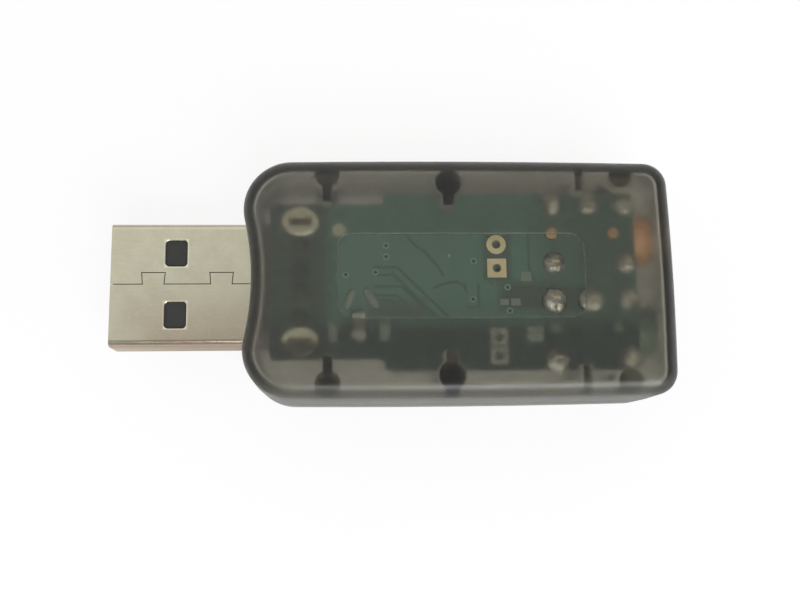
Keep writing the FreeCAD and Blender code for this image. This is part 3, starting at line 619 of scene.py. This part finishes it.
# bare lands on the upper face: wire lands by row, half size and squareness, a test land, small lands by
# place and half size, rims of the jacks' joints, and vias
lands = {
    "lift": 0.035, "wireX": 10.15, "wireHole": 0.42,
    "gold": ((3.6, 0.95, False), (1.25, 0.93, True)), "tinned": ((-5.5, 0.84, True), (-7.3, 0.84, True)),
    "testPlace": (-5.15, 5.03), "testHalf": 0.62, "testHole": 0.16,
    "small": ((13.65, -5.25, 0.8, 0.75), (10.8, -2.1, 0.42, 0.3), (11.9, -2.1, 0.45, 0.35),
              (13.0, 0.4, 0.5, 0.45), (-5.75, -5.0, 0.4, 0.9), (-0.8, -5.0, 0.5, 0.8)),
    "jointRim": 0.04, "jointInset": 0.3,
    "vias": ((-0.6, 3.5), (-0.6, 2.4), (-1.64, 0.87), (-4.5, 0.65), (7.9, 1.95), (11.15, -0.65), (7.75, -1.8),
             (11.3, -2.95)),
    "viaHalf": 0.32, "viaHole": 0.18, "viaSides": 24,
}


def layWireLands(name, rows, finish):
    work = bmesh.new()
    for row, half, square in rows:
        layLand(work, (lands["wireX"], row), half, lands["wireHole"],
                boardHigh.z, boardHigh.z + lands["lift"], square)
    newPiece(name, work, finish)


def layLands():
    base, top = boardHigh.z, boardHigh.z + lands["lift"]
    layWireLands("goldLands", lands["gold"], padGold)
    work = bmesh.new()
    layLand(work, lands["testPlace"], lands["testHalf"], lands["testHole"], base, top)
    newPiece("testLand", work, paleTin)
    layWireLands("agedLands", lands["tinned"], agedTin)
    work = bmesh.new()
    for x, y, halfX, halfY in lands["small"]:
        laySoftBlock(work, (x - halfX, y - halfY, base), (x + halfX, y + halfY, top), lands["lift"] / 3)
    newPiece("dullLands", work, dullTin)
    work = bmesh.new()
    for jack in jacks:
        for low, high in solidBoxes(jack + "_jack_solder"):
            middle = (low + high) / 2
            rim = (high.x - low.x) / 2
            layLand(work, middle.xy, rim + lands["jointRim"], rim - lands["jointInset"], base, top)
    newPiece("wornLands", work, wornTin)


# via rings, with mask over the wire lands' holes on the lower face, and painted shade over the via holes
def layVias():
    base = boardHigh.z
    work = bmesh.new()
    for place in lands["vias"]:
        layLand(work, place, lands["viaHalf"], lands["viaHole"], base, base + lands["lift"] / 2,
                sides=lands["viaSides"])
    for row, half, _ in lands["gold"] + lands["tinned"]:
        layTent(work, (lands["wireX"], row), half / 2, boardLow.z - gaps["lift"], boardLow.z)
    newPiece("viaRings", work, viaMask)
    # painted shade: a near black disc over each via hole
    work = bmesh.new()
    for place in lands["vias"]:
        layTent(work, place, lands["viaHole"], base, base + lands["lift"] / 3)
    newPiece("viaHoleShades", work, viaHoleShade)


# solder that has spread past three joints and the filter capacitor's ends, and one pale speck of it that is a
# painted glint:
# start, end, half width and rise
spread = {
    "joints": (((15.6, -1.93), (15.74, -1.99), 1.15, 0.55), ((18.9, -2.0), (19.55, -2.06), 0.95, 0.42),
               ((15.6, -7.75), (15.8, -7.85), 1.15, 0.6)),
    "ends": (((-3.45, -3.35), (-3.05, -3.3), 0.42, 0.9), ((-3.35, -5.3), (-3.1, -5.45), 0.45, 0.75),
             # the last drop is a pale speck of solder, a painted glint
             ((5.5, 2.4), (5.52, 2.6), 0.1, 0.06)),
    "stations": 17, "sides": 16,
}


def spreadSolder():
    for name, finish in (("joints", jackTin), ("ends", endSolder)):
        work = bmesh.new()
        for start, end, half, rise in spread[name]:
            layDrop(work, start, end, half, boardHigh.z, rise, spread["stations"], spread["sides"])
        newPiece("solderAt" + name.capitalize(), work, finish, smooth=True)


# leads of the crystal, bent over and soldered on the upper face
crystalLeads = {
    "half": 0.42, "rise": 0.22,
    "routes": (((-4.35, -2.3), (-3.95, -1.2)), ((-2.5, -1.0), (-1.65, -2.3))),
}


def bendCrystalLeads():
    work = bmesh.new()
    for start, end in crystalLeads["routes"]:
        layDrop(work, start, end, crystalLeads["half"], boardHigh.z, crystalLeads["rise"])
    newPiece("crystalLeadEnds", work, dullTin, smooth=True)


# metal ends of the chip parts on both faces
partEnds = {"share": 0.27, "grow": 0.03, "edge": 0.12}


def capChipParts():
    grow = Vector([partEnds["grow"]] * 3)
    work = bmesh.new()
    for name in ("filter_capacitor", "ceramic_capacitors", "chip_resistors"):
        for low, high in solidBoxes(name):
            size = high - low
            axis = 0 if size.x > size.y else 1
            for farEnd in (False, True):
                capLow, capHigh = low - grow, high + grow
                if farEnd:
                    capLow[axis] = high[axis] - size[axis] * partEnds["share"]
                else:
                    capHigh[axis] = low[axis] + size[axis] * partEnds["share"]
                laySoftBlock(work, capLow, capHigh, partEnds["edge"])
    newPiece("chipPartEnds", work, endSolder, smooth=True)


# tracks that fan out from the audio chip on the lower face, with a via at each second end
fan = {"leads": 12, "pitch": 0.5, "start": 4.55, "straight": 0.5, "spread": 0.32, "width": 0.2}


def fanTracks():
    low, high = (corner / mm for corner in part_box("audio_chip"))
    middle = ((low + high) / 2).xy
    face = boardLow.z - gaps["lift"]
    work = bmesh.new()
    for ahead in (Vector((1, 0)), Vector((0, 1)), Vector((-1, 0)), Vector((0, -1))):
        aside = Vector((-ahead.y, ahead.x))
        for lead in range(fan["leads"]):
            step = lead - (fan["leads"] - 1) / 2
            start = middle + ahead * fan["start"] + aside * step * fan["pitch"]
            bend = start + ahead * fan["straight"]
            end = bend + (ahead * abs(step) + aside * step) * fan["spread"]
            layStrip(work, (start, bend, end), fan["width"], face, boardLow.z)
            if lead % 2:
                layLand(work, end, lands["viaHalf"], lands["viaHole"], face, boardLow.z,
                        sides=lands["viaSides"])
    newPiece("chipTracks", work, viaMask)


# dark half moon on each output capacitor's end, and a dimple by the chip's first lead
marks = {"rim": 0.25, "chord": -0.35, "steps": 24, "lift": 0.01, "dotInset": 0.9, "dotHalf": 0.35}


def markParts():
    turn = math.acos(-marks["chord"])
    moon = [math.pi - turn + 2 * turn * step / marks["steps"] for step in range(marks["steps"] + 1)]
    work = bmesh.new()
    for name in ("output_capacitor_left", "output_capacitor_right"):
        low, high = (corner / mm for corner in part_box(name))
        radius = (high.x - low.x) / 2 - marks["rim"]
        layPlate(work, (low + high) / 2, radius, moon, low.z - marks["lift"], low.z)
    low, high = (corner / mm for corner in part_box("audio_chip"))
    dot = (low.x + marks["dotInset"], low.y + marks["dotInset"])
    layLand(work, dot, marks["dotHalf"], marks["dotHalf"] / 2, low.z - marks["lift"], low.z)
    newPiece("partMarks", work, chipBlack)


drawGaps()
layLands()
layVias()
spreadSolder()
bendCrystalLeads()
capChipParts()
fanTracks()
markParts()
print("stage: board dressed")


# floor, light and camera; the key lamp aims at the part's origin, and its side and place are in metres
studio = {
    "floorSide": 4.0, "floorDrop": 0.02, "floorGlow": 0.87, "floorDrift": 0.02,
    "floorColour": (0.93, 0.93, 0.92), "floorPale": (0.95, 0.95, 0.945),
    "overhead": 0.3, "most": 1.0, "brightSide": (-0.5, 0.8, 0.0), "fullLean": 0.36, "zenithSpan": (0.1, 0.6),
    "dim": (0.06, 0.045, 0.04), "plain": (0.70, 0.69, 0.68), "plainSpan": (-0.7, 0.1),
    "open": (1.8, 1.84, 1.88), "openSide": (0.75, -0.6, 0.0), "openSpan": (0.62, 0.85),
    "mirrored": 0.1, "floorMirrored": 0.25, "through": 0.48,
    "keyPower": 2.6, "keySide": 0.34, "keyPlace": (0.13, -0.39, 0.50), "keyColour": (0.95, 0.98, 1.0),
}
white = (1.0, 1.0, 1.0, 1.0)


# the share of the pale backdrop in a sight line, a mirror image and a look through the case
def seenBackdrop(tree, mirrored, through):
    path = addNode(tree, "ShaderNodeLightPath").outputs
    glossy = mathNode(tree, "MULTIPLY", path["Is Glossy Ray"], mirrored)
    passed = mathNode(tree, "MULTIPLY", path["Is Transmission Ray"], through)
    return mathNode(tree, "MAXIMUM", path["Is Camera Ray"], mathNode(tree, "MAXIMUM", glossy, passed))


def layFloor():
    mesh = bpy.data.meshes.new("floor")
    half = studio["floorSide"] / 2
    drop = -studio["floorDrop"] * mm
    corners = [(-half, -half, drop), (half, -half, drop), (half, half, drop), (-half, half, drop)]
    mesh.from_pydata(corners, [], [(0, 1, 2, 3)])
    floor = bpy.data.objects.new("floor", mesh)
    scene.collection.objects.link(floor)
    made, tree, out = newMaterial("paleFloor")
    seen = seenBackdrop(tree, studio["floorMirrored"], studio["through"])
    drift = placeGroup(tree, mouldGrain, Drift=studio["floorDrift"])["Drift"]
    tone = mixColour(tree, drift, studio["floorColour"], studio["floorPale"])
    paper = addNode(tree, "ShaderNodeBsdfDiffuse", {"Color": tone})
    glow = addNode(tree, "ShaderNodeEmission", {"Color": white, "Strength": 1.0})
    share = mathNode(tree, "MULTIPLY", seen, studio["floorGlow"])
    both = addNode(tree, "ShaderNodeMixShader", {0: share, 1: paper.outputs[0], 2: glow.outputs[0]})
    tree.links.new(both.outputs[0], out.inputs["Surface"])
    mesh.materials.append(made)


def lightWorld():
    world = bpy.data.worlds.new("studioSky")
    scene.world = world
    world.use_nodes = True
    tree = world.node_tree
    tree.nodes.clear()
    out = tree.nodes.new("ShaderNodeOutputWorld")
    aim = addNode(tree, "ShaderNodeTexCoord").outputs["Generated"]
    turn = addNode(tree, "ShaderNodeSeparateXYZ", {0: aim}).outputs
    lean = vectorNode(tree, "DOT_PRODUCT", aim, studio["brightSide"])[1]
    level = rangeNode(tree, lean, (0.0, studio["fullLean"]), studio["overhead"], studio["most"], "SMOOTHSTEP")
    zenith = addNode(tree, "ShaderNodeCombineXYZ", {0: level, 1: level, 2: level}).outputs[0]
    around = mixColour(tree, rangeNode(tree, turn[0], studio["plainSpan"]), studio["dim"], studio["plain"])
    dome = mixColour(tree, rangeNode(tree, turn[2], studio["zenithSpan"]), around, zenith)
    side = vectorNode(tree, "DOT_PRODUCT", aim, studio["openSide"])[1]
    opened = mixColour(tree, rangeNode(tree, side, studio["openSpan"]), dome, studio["open"])
    sky = addNode(tree, "ShaderNodeBackground", {"Color": opened, "Strength": 1.0})
    shown = addNode(tree, "ShaderNodeBackground", {"Color": white, "Strength": 1.0})
    seen = seenBackdrop(tree, studio["mirrored"], 1.0)
    both = addNode(tree, "ShaderNodeMixShader", {0: seen, 1: sky.outputs[0], 2: shown.outputs[0]})
    tree.links.new(both.outputs[0], out.inputs["Surface"])


def hangKeyLamp():
    lamp = bpy.data.lights.new("keyLamp", "AREA")
    lamp.shape = "SQUARE"
    lamp.size = studio["keySide"]
    lamp.energy = studio["keyPower"]
    lamp.color = studio["keyColour"]
    holder = bpy.data.objects.new("keyLamp", lamp)
    holder.location = studio["keyPlace"]
    holder.rotation_euler = (-Vector(studio["keyPlace"])).to_track_quat("-Z", "Y").to_euler()
    scene.collection.objects.link(holder)


# place, target, sensor, lens and nearest sight in mm, roll in degrees
cameraView = {
    "place": (-4.93, -18.67, 103.12), "target": (0.75, -1.66, 8.45), "roll": -0.86,
    "lens": 44.63, "sensor": 36.0, "nearest": 1.0,
}


def setCamera():
    lens = bpy.data.cameras.new("camera")
    lens.lens = cameraView["lens"]
    lens.sensor_width = cameraView["sensor"]
    lens.clip_start = cameraView["nearest"] * mm
    camera = bpy.data.objects.new("camera", lens)
    scene.collection.objects.link(camera)
    place = Vector(cameraView["place"]) * mm
    back = (place - Vector(cameraView["target"]) * mm).normalized()
    right = Vector((0, 1, 0)).cross(back).normalized()
    up = back.cross(right)
    roll = math.radians(cameraView["roll"])
    turnedRight = right * math.cos(roll) + up * math.sin(roll)
    turnedUp = up * math.cos(roll) - right * math.sin(roll)
    turned = Matrix((turnedRight, turnedUp, back)).transposed().to_4x4()
    camera.matrix_world = Matrix.Translation(place) @ turned
    scene.camera = camera


layFloor()
lightWorld()
hangKeyLamp()
setCamera()
print("stage: floor, lamp and camera set")
